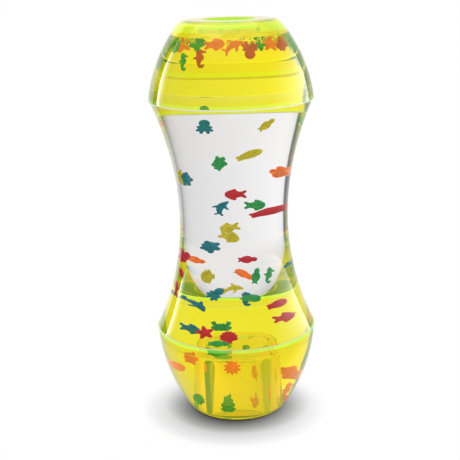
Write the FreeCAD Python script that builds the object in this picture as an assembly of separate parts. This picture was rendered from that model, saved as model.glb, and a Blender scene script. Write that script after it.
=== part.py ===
import FreeCAD
import Part
import math
import os

# A sealed hourglass tube full of clear liquid, with small flat sea creatures drifting in it.
# Millimetres. Z runs up the axis, and the origin is the middle of the face it stands on.
# A profile is drawn in the XZ plane, where X is the radius, and turned about Z.

# The vessel
height = 221.0
rim_radius = 45.0          # the widest place, where each cap's rim meets the clear body
base_cap_height = 50.0
top_cap_height = 42.0
base_end_radius = 27.5     # of the end face, before its edge is eased
top_end_radius = 26.0
base_bulge = 3.7           # how far a cap's side stands out of the straight line to its rim
top_bulge = 3.4
end_ease = 2.0             # height over which a cap's side turns into its end face
cap_wall = 2.5

waist_radius = 30.3
waist_height = 113.0
rim_proud = 0.4            # how far each cap's rim stands out from the end of the body
body_wall = 3.0
spigot_length = 6.0        # of the body's ends, which reach into the caps
spigot_wall = 1.6
spigot_clearance = 0.1     # between spigot and socket, filled by the joint's solvent
spigot_end_gap = 0.5

# The pockets in the caps' end faces
pocket_radius = 14.3       # the same core pin forms both
pocket_wall = 2.5
base_well_height = 38.0    # outside, from the end face to the crown of the well
well_crown_ease = 5.0
top_recess_depth = 5.0
recess_ease = 0.8

# The fill plug in the floor of the top recess
plug_radius = 4.0
plug_head_radius = 6.5
plug_head_height = 1.5
plug_clearance = 0.05
plug_reach = 1.0           # how far its stem reaches out below the recess floor

# The liquid
air_gap = 8.5              # from the top of the tube down to the liquid's level
drift_gap = 0.4            # what a creature keeps clear of the walls at the ends of its drift
side_gap = 0.3             # two creatures closer than this, as seen from above, share a column
column_gap = 1.0           # what they then keep between them, one above the other
pocket_gap = 0.3           # between a creature and the liquid around it

# The creatures: overall length of each kind, and one thickness for all
creature_thickness = 2.6
fish_length = 9.5
minnow_length = 11.0
dolphin_length = 9.5
seal_length = 9.5
turtle_length = 9.0
crab_length = 8.0
starfish_length = 8.4
shell_length = 8.0
octopus_length = 8.8
seahorse_length = 9.5
reach_margin = 5.0         # a creature placed at reach 1 has its middle this far inside the wall

# Straight runs that follow the shallow arc of a cap's side or half the body's inside
outside_runs = 5
inside_runs = 3


def point(radius, z):
    return FreeCAD.Vector(radius, 0, z)


def line(start, end):
    return Part.LineSegment(start, end).toShape()


def arc(start, middle, end):
    return Part.Arc(start, middle, end).toShape()


def bezier(*poles):
    curve = Part.BezierCurve()
    curve.setPoles(list(poles))
    return curve.toShape()


def path(points):
    """Straight runs through a list of points."""
    return [line(points[n], points[n + 1]) for n in range(len(points) - 1)]


def turned(edges):
    """The solid that a closed profile sweeps round the Z axis."""
    face = Part.Face(Part.Wire(edges))
    solid = face.revolve(FreeCAD.Vector(0, 0, 0), FreeCAD.Vector(0, 0, 1), 360)
    return Part.Solid(solid) if solid.ShapeType == "Shell" else solid


def spread(low, high, runs):
    """The heights that divide a stretch into equal runs."""
    return [low + (high - low) * n / runs for n in range(runs + 1)]


class Bowl:
    """The side of a cap, drawn with its end face at z = 0: a shallow arc from the end face to the rim."""

    def __init__(self, cap_height, end_radius, bulge):
        self.height = cap_height
        run = rim_radius - end_radius
        chord = math.hypot(run, cap_height)
        self.radius = (chord * chord / 4 + bulge * bulge) / (2 * bulge)
        back = self.radius - bulge
        self.x = (rim_radius + end_radius) / 2 - back * cap_height / chord
        self.z = cap_height / 2 + back * run / chord

    def at(self, z, inset=0.0):
        """The radius at a height, for the outside or a wall's thickness inside it."""
        return self.x + math.sqrt((self.radius - inset) ** 2 - (z - self.z) ** 2)

    def outside(self):
        """Points from the end face, round its eased edge and up the side to the rim."""
        start = point(self.at(end_ease), end_ease)
        lean = (start.x - self.x) / (self.z - start.z)
        corner = point(start.x - end_ease / lean, 0)
        stop = point(corner.x - math.hypot(start.x - corner.x, end_ease), 0)
        middle = (start + corner * 2 + stop) / 4
        return [stop, middle] + [point(self.at(z), z) for z in spread(end_ease, self.height, outside_runs)]

    def inside(self):
        """Points from the floor up to the ledge on which the body's spigot comes to rest."""
        ledge = self.height - spigot_length - spigot_end_gap
        return [point(self.at(z, cap_wall), z) for z in spread(cap_wall, ledge, inside_runs)]


base_bowl = Bowl(base_cap_height, base_end_radius, base_bulge)
top_bowl = Bowl(top_cap_height, top_end_radius, top_bulge)
socket_radius = rim_radius - cap_wall
spigot_radius = socket_radius - spigot_clearance
pocket_outside = pocket_radius + pocket_wall
base_rim_z = base_cap_height
top_rim_z = height - top_cap_height
liquid_level = height - air_gap
body_end_radius = rim_radius - rim_proud
inner_end_radius = body_end_radius - body_wall
inner_waist_radius = waist_radius - body_wall
spigot_bore = spigot_radius - spigot_wall


def crown(top, ease):
    """Points from the foot of a pocket's wall, inside the cap, up and round to its crown."""
    left_out = ease * (1 - math.sqrt(0.5))
    return [
        point(pocket_outside, cap_wall),
        point(pocket_outside, top - ease),
        point(pocket_outside - left_out, top - left_out),
        point(pocket_outside - ease, top),
        point(0, top),
    ]


def cap(bowl, pocket_depth, crown_ease):
    """A cap with its end face at z = 0 and a pocket that rises into it from there."""
    inside = bowl.inside()
    points = [point(0, pocket_depth), point(pocket_radius, pocket_depth), point(pocket_radius, 0)]
    points += bowl.outside()
    points += [point(socket_radius, bowl.height), point(socket_radius, inside[-1].z)]
    points += inside[::-1]
    points += crown(pocket_depth + cap_wall, crown_ease)
    return turned(path(points + points[:1]))


def flare(end_radius, end_z, radius):
    """A parabola from an end of the body to its waist, level with the axis at the waist."""
    corner = point(radius, (end_z + waist_height) / 2)
    return bezier(point(end_radius, end_z), corner, point(radius, waist_height))


def bore():
    """Points up the inside of the body from one rim to the other, on the same parabolas."""
    points = []
    for z in spread(base_rim_z, waist_height, inside_runs) + spread(waist_height, top_rim_z, inside_runs)[1:]:
        end = base_rim_z if z < waist_height else top_rim_z
        share = (z - waist_height) / (end - waist_height)
        points.append(point(inner_waist_radius + (inner_end_radius - inner_waist_radius) * share ** 2, z))
    return points


def body():
    low = base_rim_z - spigot_length
    high = top_rim_z + spigot_length
    foot = [
        point(spigot_bore, low),
        point(spigot_radius, low),
        point(spigot_radius, base_rim_z),
        point(body_end_radius, base_rim_z),
    ]
    head = [
        point(body_end_radius, top_rim_z),
        point(spigot_radius, top_rim_z),
        point(spigot_radius, high),
        point(spigot_bore, high),
    ]
    edges = path(foot)
    edges.append(flare(body_end_radius, base_rim_z, waist_radius))
    edges.append(flare(body_end_radius, top_rim_z, waist_radius))
    edges += path(head + bore()[::-1] + foot[:1])
    return turned(edges)


def upended(solid):
    """A piece drawn with its end face at z = 0, turned over to the top of the tube."""
    turned_over = solid.copy()
    turned_over.rotate(FreeCAD.Vector(0, 0, 0), FreeCAD.Vector(1, 0, 0), 180)
    turned_over.translate(FreeCAD.Vector(0, 0, height))
    return turned_over


def base_cap():
    return cap(base_bowl, base_well_height - cap_wall, well_crown_ease)


def top_cap():
    shell = cap(top_bowl, top_recess_depth, recess_ease)
    hole = Part.makeCylinder(plug_radius, 2 * cap_wall, point(0, top_recess_depth - cap_wall / 2))
    return upended(shell.cut(hole))


def fill_plug():
    """A flanged plug, drawn as the top cap is: its head lies in the recess, on the recess floor."""
    seat = point(0, top_recess_depth - plug_head_height)
    head = Part.makeCylinder(plug_head_radius, plug_head_height, seat)
    stem = Part.makeCylinder(plug_radius - plug_clearance, cap_wall + plug_reach, point(0, top_recess_depth))
    return upended(head.fuse(stem))


def inside_of_vessel():
    """Points up the wall of the space inside, from the base cap's floor to the top cap's."""
    points = base_bowl.inside()
    points.append(point(spigot_bore, base_rim_z - spigot_length))
    points += bore()
    points.append(point(spigot_bore, top_rim_z + spigot_length))
    return points + [point(p.x, height - p.z) for p in top_bowl.inside()[::-1]]


wall = inside_of_vessel()


def inner_radius(z):
    """The radius of the space inside the vessel at a height."""
    for below, above in zip(wall, wall[1:]):
        if z <= above.z:
            return below.x + (above.x - below.x) * (z - below.z) / (above.z - below.z)
    return wall[-1].x


def full_liquid():
    """All the space inside below the liquid's level, with no room yet for the creatures."""
    points = [p for p in wall if p.z < liquid_level]
    points += [point(inner_radius(liquid_level), liquid_level), point(0, liquid_level)]
    points += crown(base_well_height, well_crown_ease)[::-1]
    return turned(path(points + points[:1]))


# Outlines of the creatures, each one unit long and about the origin, seen from the front.
# A step of two numbers is a straight line to that place, and one of four is an arc through
# the first place to the second.

def mirrored(steps, start):
    """The steps that lead back to the start along the outline's mirror image in y."""
    places = [start] + [step[-2:] for step in steps]
    back = []
    for index in range(len(steps) - 1, -1, -1):
        goal = places[index]
        middle = steps[index][:-2]
        if middle:
            back.append((middle[0], -middle[1], goal[0], -goal[1]))
        else:
            back.append((goal[0], -goal[1]))
    return back


def fish():
    start = (0.5, 0.0)
    steps = [
        (0.42, 0.18, 0.24, 0.25),
        (0.1, 0.38),
        (-0.08, 0.33),
        (-0.14, 0.2),
        (-0.27, 0.1),
        (-0.5, 0.27),
        (-0.43, 0.0),
        (-0.5, -0.25),
        (-0.27, -0.1),
        (-0.1, -0.22),
        (-0.04, -0.34),
        (0.14, -0.33),
        (0.24, -0.25),
        (0.42, -0.17, 0.5, 0.0),
    ]
    return start, steps


def minnow():
    start = (0.5, 0.0)
    steps = [
        (0.1, 0.21, -0.36, 0.09),
        (-0.5, 0.16),
        (-0.46, 0.0),
    ]
    return start, steps + mirrored(steps, start)


def dolphin():
    start = (0.5, -0.05)
    steps = [
        (0.38, 0.06),
        (0.24, 0.2, 0.06, 0.21),
        (-0.08, 0.36),
        (-0.12, 0.17),
        (-0.24, 0.1),
        (-0.36, -0.04),
        (-0.5, 0.1),
        (-0.47, -0.1),
        (-0.48, -0.3),
        (-0.28, -0.17),
        (-0.1, -0.12),
        (0.04, -0.12),
        (-0.02, -0.3),
        (0.2, -0.16),
        (0.38, -0.14),
    ]
    return start, steps + [start]


def seal():
    start = (0.5, 0.0)
    steps = [
        (0.42, 0.11),
        (0.24, 0.11),
        (-0.08, 0.23, -0.36, 0.07),
        (-0.5, 0.15),
    ]
    return start, steps + mirrored(steps, start)


def turtle():
    start = (0.5, 0.0)
    steps = [
        (0.45, 0.09),
        (0.32, 0.09),
        (0.28, 0.18),
        (0.2, 0.42),
        (0.1, 0.28),
        (-0.06, 0.3),
        (-0.2, 0.24),
        (-0.37, 0.34),
        (-0.32, 0.13),
        (-0.45, 0.0),
    ]
    return start, steps + mirrored(steps, start)


def crab():
    start = (0.0, 0.22)
    steps = [
        (0.16, 0.2),
        (0.26, 0.24),
        (0.24, 0.42),
        (0.4, 0.4),
        (0.48, 0.24),
        (0.42, 0.08),
        (0.5, -0.04),
        (0.42, -0.12),
        (0.46, -0.26),
        (0.32, -0.28),
        (0.16, -0.38),
        (0.0, -0.4),
    ]
    other_side = [(-x, y) for x, y in steps]
    return start, steps + other_side[-2::-1] + [start]


def star(arm_count, notch, blunt):
    """Blunt arms that reach out half a unit, with notches between them."""
    pitch = 2 * math.pi / arm_count
    steps = []
    for arm in range(arm_count):
        middle = math.pi / 2 + pitch * arm
        for turn, reach in ((middle - blunt, 0.5), (middle + blunt, 0.5), (middle + pitch / 2, notch)):
            steps.append((reach * math.cos(turn), reach * math.sin(turn)))
    return steps[-1], steps


def starfish():
    return star(5, 0.27, 0.2)


def sun_star():
    return star(10, 0.39, 0.1)


def shell():
    rib_count = 5
    valley, crest = 0.44, 0.5
    first = -0.35
    pitch = (math.pi - 2 * first) / rib_count
    start = (0.12, -0.45)
    steps = [(0.14, -0.32), (valley * math.cos(first), valley * math.sin(first))]
    for rib in range(rib_count):
        middle = first + pitch * (rib + 0.5)
        for turn, reach in ((middle, crest), (middle + pitch / 2, valley)):
            steps.append((reach * math.cos(turn), reach * math.sin(turn)))
    return start, steps + [(-0.14, -0.32), (-0.12, -0.45), start]


def octopus():
    start = (0.16, -0.02)
    steps = [
        (0.34, 0.0),
        (0.3, -0.12),
        (0.4, -0.26),
        (0.24, -0.28),
        (0.24, -0.46),
        (0.08, -0.36),
        (-0.02, -0.5),
        (-0.1, -0.36),
        (-0.26, -0.45),
        (-0.24, -0.27),
        (-0.4, -0.24),
        (-0.3, -0.1),
        (-0.34, 0.02),
        (-0.16, -0.02),
        (0.0, 0.5, 0.16, -0.02),
    ]
    return start, steps


def seahorse():
    start = (-0.04, 0.5)
    steps = [
        (0.1, 0.44),
        (0.3, 0.36),
        (0.29, 0.25),
        (0.1, 0.24),
        (0.2, 0.06),
        (0.08, -0.18),
        (0.06, -0.28),
        (0.18, -0.26),
        (0.22, -0.42),
        (0.06, -0.5),
        (-0.12, -0.4),
        (-0.14, -0.14),
        (-0.28, 0.0),
        (-0.16, 0.12),
        (-0.14, 0.26),
        (-0.2, 0.4),
    ]
    return start, steps + [start]


kinds = {
    "fish": (fish, fish_length),
    "minnow": (minnow, minnow_length),
    "dolphin": (dolphin, dolphin_length),
    "seal": (seal, seal_length),
    "turtle": (turtle, turtle_length),
    "crab": (crab, crab_length),
    "starfish": (starfish, starfish_length),
    "shell": (shell, shell_length),
    "octopus": (octopus, octopus_length),
    "seahorse": (seahorse, seahorse_length),
}

# One creature that has more arms than others of its kind
plans = {"orange_starfish_3": sun_star}

# Where each creature is: a height, the bearing of its middle (0 is +X, and -90 is the front), how
# far out it is, how it is turned about the vertical, and its tilt as seen from the front. A reach
# of 1 is reach_margin inside the wall. The height is in millimetres below the liquid's surface for
# those that float, in shares of the clear body's length above its lower end for those in the tube,
# in millimetres above the well's crown for the low ones, and above the floor for those at the base,
# whose reach runs from the well's side.
floating = [
    ("green_turtle_1", 6.5, -158, 0.93, 40, 80),
    ("orange_starfish_1", 8.5, -174, 0.65, 20, 10),
    ("green_shell_1", 6.5, -144, 0.61, 20, 0),
    ("orange_fish_1", 6.0, -112, 0.65, 0, 5),
    ("orange_dolphin_1", 14.0, 85, 0.44, -20, 30),
    ("red_octopus_1", 11.5, -36, 0.33, 0, 180),
    ("green_octopus_1", 12.0, 52, 0.57, 0, 20),
    ("orange_starfish_2", 6.0, -38, 0.83, 0, 0),
    ("red_shell_1", 6.5, -25, 0.93, 0, 90),
    ("green_seahorse_1", 12.5, -136, 0.99, -40, 0),
    ("red_seahorse_1", 15.0, -158, 0.41, 0, 0),
    ("green_crab_1", 10.5, 14, 0.84, -40, 90),
]
in_the_tube = [
    ("blue_octopus_1", 0.93, -172, 0.32, 0, 0),
    ("yellow_seal_1", 0.93, -54, 0.82, 0, 38),
    ("yellow_minnow_1", 0.79, 44, 0.31, 20, 28),
    ("green_turtle_2", 0.77, -104, 1.0, 20, 50),
    ("orange_crab_1", 0.685, 61, 1.03, -60, 20),
    ("blue_turtle_1", 0.685, -155, 0.97, 20, -60),
    ("yellow_fish_1", 0.68, -175, 0.88, -20, -60),
    ("red_fish_1", 0.62, -84, 0.43, 0, 180),
    ("green_fish_1", 0.555, -10, 0.38, -20, 0),
    ("blue_dolphin_1", 0.53, 106, 0.64, 20, 65),
    ("red_minnow_1", 0.49, 67, 1.07, -20, 25),
    ("yellow_fish_2", 0.445, 104, 0.27, -40, 200),
    ("yellow_fish_3", 0.425, -103, 0.45, 0, -25),
    ("blue_turtle_2", 0.33, 113, 0.82, 40, -30),
    ("red_seal_1", 0.335, -71, 0.8, 0, 0),
    ("red_crab_1", 0.295, 164, 0.86, -20, 60),
    ("green_seahorse_2", 0.26, -48, 0.96, 0, -15),
    ("orange_seal_1", 0.275, 144, 0.67, -60, 0),
    ("green_seal_1", 0.25, -56, 0.66, 0, 80),
    ("blue_octopus_2", 0.13, 166, 0.27, 20, -50),
    ("orange_minnow_1", 0.19, 81, 0.65, -60, 165),
    ("yellow_shell_1", 0.27, -122, 1.02, 0, 90),
    ("blue_seahorse_1", 0.04, 83, 0.76, -40, 0),
    ("green_minnow_1", 0.13, -47, 0.34, -40, 10),
    ("red_minnow_2", 0.105, -30, 0.71, 0, 20),
    ("yellow_dolphin_1", 0.185, -96, 0.36, 0, 5),
    ("red_fish_2", 0.17, -169, 1.06, -80, 90),
]
low_down = [
    ("red_fish_3", 1.5, 60, 0.83, -40, 20),
    ("blue_dolphin_2", 13.0, 115, 0.79, -40, -50),
    ("blue_fish_1", 4.0, 162, 0.53, -40, 0),
    ("red_starfish_1", 8.0, -150, 0.45, 0, 10),
    ("red_shell_2", 4.0, -118, 0.2, 0, 0),
    ("green_crab_2", 4.5, 117, 0.34, 0, 0),
    ("green_seal_2", 3.0, -122, 0.44, 0, 0),
]
at_the_base = [
    ("orange_turtle_1", 38.0, -132, 0.95, -20, 0),
    ("orange_starfish_3", 32.5, -96, 0.39, 0, 0),
    ("orange_minnow_2", 26.0, 175, 0.46, -60, 0),
    ("orange_turtle_2", 18.5, 48, 0.52, -40, 0),
    ("orange_seahorse_1", 12.0, -6, 0.31, 20, -20),
    ("green_shell_2", 10.0, -143, 0.65, -60, 0),
    ("green_crab_3", 7.5, -103, 0.67, 20, 0),
    ("orange_crab_2", 5.5, 48, 0.25, -40, 30),
    ("green_turtle_3", 4.5, 115, 0.28, 20, 0),
]


def placed(name, z, bearing, radius, yaw, tilt):
    """A creature's solid, the block of room that the liquid leaves for it, and its rim's points."""
    draw, length = kinds[name.split("_")[1]]
    start, steps = plans.get(name, draw)()
    here = start
    edges = []
    for step in steps:
        places = [FreeCAD.Vector(x * length, y * length, -creature_thickness / 2)
                  for x, y in (here, step[:2], step[-2:])]
        edges.append(line(places[0], places[2]) if len(step) == 2 else arc(*places))
        here = step[-2:]
    wire = Part.Wire(edges)
    solid = Part.Face(wire).extrude(FreeCAD.Vector(0, 0, creature_thickness))
    box = wire.BoundBox
    room = Part.makeBox(
        box.XLength + 2 * pocket_gap,
        box.YLength + 2 * pocket_gap,
        creature_thickness + 2 * pocket_gap,
        FreeCAD.Vector(box.XMin - pocket_gap, box.YMin - pocket_gap, -creature_thickness / 2 - pocket_gap),
    )
    upright = FreeCAD.Rotation(FreeCAD.Vector(1, 0, 0), 90)
    turn = FreeCAD.Rotation(FreeCAD.Vector(0, 0, 1), yaw)
    tip = FreeCAD.Rotation(FreeCAD.Vector(0, 0, 1), tilt)
    angle = math.radians(bearing)
    middle = FreeCAD.Vector(radius * math.cos(angle), radius * math.sin(angle), z)
    place = FreeCAD.Placement(middle, turn * upright * tip)
    across = FreeCAD.Vector(0, 0, creature_thickness)
    rim = wire.discretize(40)
    points = [place.multVec(p) for p in rim] + [place.multVec(p + across) for p in rim]
    for shape in (solid, room):
        shape.Placement = place
    return solid, room, points


def has_room(points, rise):
    """Whether a creature lifted by that much is clear of the walls, the well and the surface."""
    for p in points:
        z = p.z + rise
        radius = math.hypot(p.x, p.y)
        if z < cap_wall + drift_gap or z > liquid_level - drift_gap:
            return False
        if radius > inner_radius(z) - drift_gap:
            return False
        if z < base_well_height + drift_gap and radius < pocket_outside + drift_gap:
            return False
    return True


def footprint(points, yaw):
    """The corners of the strip that a creature covers, as seen from above, and the strip's two axes."""
    turn = math.radians(yaw)
    along = FreeCAD.Vector(math.cos(turn), math.sin(turn), 0)
    across = FreeCAD.Vector(-math.sin(turn), math.cos(turn), 0)
    lengths = [p.dot(along) for p in points]
    widths = [p.dot(across) for p in points]
    ends = (min(lengths), max(lengths))
    sides = (min(widths), max(widths))
    return [along * end + across * side for end in ends for side in sides], (along, across)


def can_pass(one, other):
    """Whether two creatures can drift past each other, from their footprints."""
    for axis in one[1] + other[1]:
        mine = [corner.dot(axis) for corner in one[0]]
        theirs = [corner.dot(axis) for corner in other[0]]
        if min(mine) > max(theirs) + side_gap or min(theirs) > max(mine) + side_gap:
            return True
    return False


def column(name, footprints, spans):
    """The heights a creature keeps between: half of the way to those it shares a column with."""
    bottom, top = spans[name]
    low, high = 0.0, height
    for other, (other_bottom, other_top) in spans.items():
        if other == name or can_pass(footprints[name], footprints[other]):
            continue
        if other_top < bottom:
            low = max(low, (other_top + bottom + column_gap) / 2)
        else:
            high = min(high, (top + other_bottom - column_gap) / 2)
    return low, high


def drift(points, low, high):
    """How far a creature can sink and rise straight from where it is, in steps of half a millimetre."""
    step = 0.5
    bottom = min(p.z for p in points)
    top = max(p.z for p in points)
    sink = rise = 0.0
    while bottom - sink - step >= low and has_room(points, -sink - step):
        sink += step
    while top + rise + step <= high and has_room(points, rise + step):
        rise += step
    return -sink, rise


def creatures():
    body_length = top_rim_z - base_rim_z
    spots = [(liquid_level - row[1], 0.0, row) for row in floating]
    spots += [(base_rim_z + row[1] * body_length, 0.0, row) for row in in_the_tube]
    spots += [(base_well_height + row[1], 0.0, row) for row in low_down]
    spots += [(cap_wall + row[1], pocket_outside, row) for row in at_the_base]
    made = {}
    footprints = {}
    for z, nearest, (name, _, bearing, reach, yaw, tilt) in spots:
        furthest = inner_radius(z) - reach_margin
        radius = nearest + reach * (furthest - nearest)
        made[name] = placed(name, z, bearing, radius, yaw, tilt)
        footprints[name] = footprint(made[name][2], yaw)
    return made, footprints


os.makedirs("parts", exist_ok=True)
nodes = {
    "clear_body": body(),
    "base_cap": base_cap(),
    "top_cap": top_cap(),
    "fill_plug": fill_plug(),
}
shoal, footprints = creatures()
spans = {name: (min(p.z for p in points), max(p.z for p in points)) for name, (_, _, points) in shoal.items()}
rooms = [room for _, room, _ in shoal.values()]
nodes["liquid"] = full_liquid().cut(rooms)
for name, (solid, _, points) in shoal.items():
    nodes[name] = solid
    sink, rise = drift(points, *column(name, footprints, spans))
    print(name, "drifts", sink, "to", rise, "from rest", "" if has_room(points, 0.0) else "NO ROOM")

for name, shape in nodes.items():
    shape.exportStep("parts/" + name + ".step")
    print(name, "volume", round(shape.Volume / 1000, 2), "cm3, solids", len(shape.Solids), shape.isValid())
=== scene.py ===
import bpy
import bmesh
import math
import random
from mathutils import Matrix, Vector


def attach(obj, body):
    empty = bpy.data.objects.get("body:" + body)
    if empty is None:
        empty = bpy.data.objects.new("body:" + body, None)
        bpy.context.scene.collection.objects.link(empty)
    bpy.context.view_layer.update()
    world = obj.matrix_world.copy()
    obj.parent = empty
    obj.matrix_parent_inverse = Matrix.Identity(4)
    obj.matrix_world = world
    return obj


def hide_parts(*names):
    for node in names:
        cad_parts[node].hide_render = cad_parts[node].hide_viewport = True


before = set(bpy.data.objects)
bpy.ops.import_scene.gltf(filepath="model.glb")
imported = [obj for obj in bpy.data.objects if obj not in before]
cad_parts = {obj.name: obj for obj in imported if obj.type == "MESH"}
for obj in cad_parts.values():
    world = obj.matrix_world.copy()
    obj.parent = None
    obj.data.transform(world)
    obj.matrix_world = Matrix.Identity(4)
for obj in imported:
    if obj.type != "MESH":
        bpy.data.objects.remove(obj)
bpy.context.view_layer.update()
mm = 0.001
scene = bpy.context.scene

# the tube's own sizes, in millimetres, as the parts were built
tube = {
    "height": 221.0,
    "rimRadius": 45.0,
    "rimProud": 0.4,
    "waistRadius": 30.3,
    "waistHeight": 113.0,
    "bodyWall": 3.0,
    "capWall": 2.5,
    "spigotGap": 0.1,
    "spigotLength": 6.0,
    "spigotEndGap": 0.5,
    "spigotWall": 1.6,
    "pocketRadius": 14.3,
    "wellHeight": 38.0,
    "wellEase": 5.0,
    "recessDepth": 5.0,
    "airGap": 8.5,
    "sides": 144,
    "stepAlong": 2.0,
    "sharpAngle": 32.0,
}
baseBowl = {"height": 50.0, "endRadius": 27.5, "bulge": 3.7}
topBowl = {"height": 42.0, "endRadius": 26.0, "bulge": 3.4}
rounds = {"edge": 0.3, "mouth": 0.7, "foot": 3.0, "insideFoot": 2.0, "insideWell": 1.2, "recess": 0.8}
arcStarts = {"outside": 5.5, "inside": 5.0}     # how high above its end a cap's wall starts to curve
plug = {
    "holeRadius": 4.0, "headRadius": 6.5, "headHeight": 1.5, "clearance": 0.05, "reach": 1.0,
    "taper": 0.5, "taperHeight": 1.0, "dimpleRadius": 2.2, "dimpleFoot": 1.6, "dimpleDepth": 0.5,
    "headRound": 0.5, "dimpleRound": 0.3, "tipRound": 0.2, "seatRound": 0.1,
}
optics = {"plastic": 1.49, "liquid": 1.41}
wetIor = optics["plastic"] / optics["liquid"]
hair = 0.03     # keeps faces that touch from lying in one place
onAxis = 0.001      # a smaller radius is a point of the axis

# where the photo was taken from, in metres and radians
shot = {
    "place": (0.0, -0.52477, 0.25242),
    "pitchDown": 0.2729,
    "yaw": -0.007,
    "roll": -0.0261,
    "lens": 75.75,
    "sensor": 36.0,
    "shift": (0.0054, -0.004),
    "clipStart": 0.01,
}


def aimCamera():
    data = bpy.data.cameras.new("photoCamera")
    data.sensor_width = shot["sensor"]
    data.lens = shot["lens"]
    data.shift_x, data.shift_y = shot["shift"]
    data.clip_start = shot["clipStart"]
    camera = bpy.data.objects.new("photoCamera", data)
    scene.collection.objects.link(camera)
    pitch, yaw, roll = shot["pitchDown"], shot["yaw"], shot["roll"]
    along = math.cos(pitch)
    ahead = Vector((math.sin(yaw) * along, math.cos(yaw) * along, -math.sin(pitch)))
    side = Vector((math.cos(yaw), -math.sin(yaw), 0.0))
    up = side.cross(ahead)
    leaningSide = side * math.cos(roll) + up * math.sin(roll)
    leaningUp = up * math.cos(roll) - side * math.sin(roll)
    turned = Matrix((leaningSide, leaningUp, -ahead)).transposed().to_4x4()
    camera.matrix_world = Matrix.Translation(shot["place"]) @ turned
    scene.camera = camera


aimCamera()
print("camera placed")


def newMaterial(name):
    material = bpy.data.materials.new(name)
    material.use_nodes = True
    tree = material.node_tree
    shader = tree.nodes["Principled BSDF"]
    return material, tree, shader


def addNode(tree, kind, **settings):
    node = tree.nodes.new(kind)
    for key, value in settings.items():
        if key in node.inputs:
            node.inputs[key].default_value = value
        else:
            setattr(node, key, value)
    return node


def addNoise(tree, scale, detail=3.0, stretch=(1.0, 1.0, 1.0)):
    place = addNode(tree, "ShaderNodeTexCoord")
    mapping = addNode(tree, "ShaderNodeMapping")
    mapping.inputs["Scale"].default_value = stretch
    noise = addNode(tree, "ShaderNodeTexNoise")
    noise.inputs["Scale"].default_value = scale
    noise.inputs["Detail"].default_value = detail
    tree.links.new(place.outputs["Object"], mapping.inputs["Vector"])
    tree.links.new(mapping.outputs["Vector"], noise.inputs["Vector"])
    return noise


noiseSpan = (0.35, 0.65)        # the values of a noise that are spread over the whole range


def addRange(tree, source, low, high):
    spread = addNode(tree, "ShaderNodeMapRange")
    spread.inputs["From Min"].default_value, spread.inputs["From Max"].default_value = noiseSpan
    spread.inputs["To Min"].default_value = low
    spread.inputs["To Max"].default_value = high
    tree.links.new(source, spread.inputs["Value"])
    return spread.outputs["Result"]


def addBump(tree, shader, source, strength, distance):
    bump = addNode(tree, "ShaderNodeBump")
    bump.inputs["Strength"].default_value = strength
    bump.inputs["Distance"].default_value = distance
    tree.links.new(source, bump.inputs["Height"])
    tree.links.new(bump.outputs["Normal"], shader.inputs["Normal"])


def passLamps(tree, shader, tint):
    # lamps reach what is inside: a lamp's ray passes the surface straight, dimmed by its tint
    path = addNode(tree, "ShaderNodeLightPath")
    through = addNode(tree, "ShaderNodeBsdfTransparent")
    through.inputs["Color"].default_value = tint
    mix = addNode(tree, "ShaderNodeMixShader")
    tree.links.new(path.outputs["Is Shadow Ray"], mix.inputs[0])
    tree.links.new(shader.outputs["BSDF"], mix.inputs[1])
    tree.links.new(through.outputs["BSDF"], mix.inputs[2])
    tree.links.new(mix.outputs["Shader"], tree.nodes["Material Output"].inputs["Surface"])


clearLook = {
    "colour": (0.942, 0.937, 0.94, 1.0),
    "shadow": (0.93, 0.93, 0.93, 1.0),
    "roughHigh": 0.015,
    "flow": 0.04,
    "flowSize": 35.0,
    "flowDetail": 2.0,
    "flowStretch": (1.0, 1.0, 0.35),
    "flowDepth": 0.0002,
}


def clearPlastic(name, ior):
    material, tree, shader = newMaterial(name)
    shader.inputs["Base Color"].default_value = clearLook["colour"]
    shader.inputs["Transmission Weight"].default_value = 1.0
    shader.inputs["IOR"].default_value = ior
    flow = addNoise(tree, clearLook["flowSize"], clearLook["flowDetail"], clearLook["flowStretch"])
    tree.links.new(
        addRange(tree, flow.outputs["Fac"], 0.0, clearLook["roughHigh"]),
        shader.inputs["Roughness"],
    )
    addBump(tree, shader, flow.outputs["Fac"], clearLook["flow"], clearLook["flowDepth"])
    passLamps(tree, shader, clearLook["shadow"])
    return material


# the bands are in millimetres, up from the lower joint and down from the upper one
ringLook = {
    "colour": (0.84, 0.84, 0.88, 1.0),
    "clear": 0.35,
    "rough": (0.3, 0.5),
    "frostSize": 300.0,
    "frostDetail": 2.0,
    "lowBand": 0.3,
    "highBand": 0.8,
}


def ringPlastic(name):
    # the outer corner of the body at each joint, pale and a little frosted
    material, tree, shader = newMaterial(name)
    shader.inputs["Base Color"].default_value = ringLook["colour"]
    shader.inputs["Transmission Weight"].default_value = ringLook["clear"]
    shader.inputs["IOR"].default_value = optics["plastic"]
    frost = addNoise(tree, ringLook["frostSize"], ringLook["frostDetail"])
    tree.links.new(
        addRange(tree, frost.outputs["Fac"], *ringLook["rough"]),
        shader.inputs["Roughness"],
    )
    passLamps(tree, shader, clearLook["shadow"])
    return material


# edge and edgeGlow are for the thin edges that shine; soak and glow work inside the plastic
tintLook = {
    "surface": (0.99, 0.965, 0.66, 1.0),
    "edge": (0.42, 0.96, 0.2, 1.0),
    "edgeGlow": 0.3,
    "shadow": (0.93, 0.9, 0.72, 1.0),
    "soak": (0.986, 0.952, 0.0, 1.0),
    "soakDensity": 1400.0,
    "glow": (0.42, 1.0, 0.3, 1.0),
    "glowStrength": 38.0,
    "flow": 0.05,
    "flowSize": 30.0,
    "flowDetail": 2.0,
    "flowDepth": 0.0002,
    "roughHigh": 0.02,
}


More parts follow.
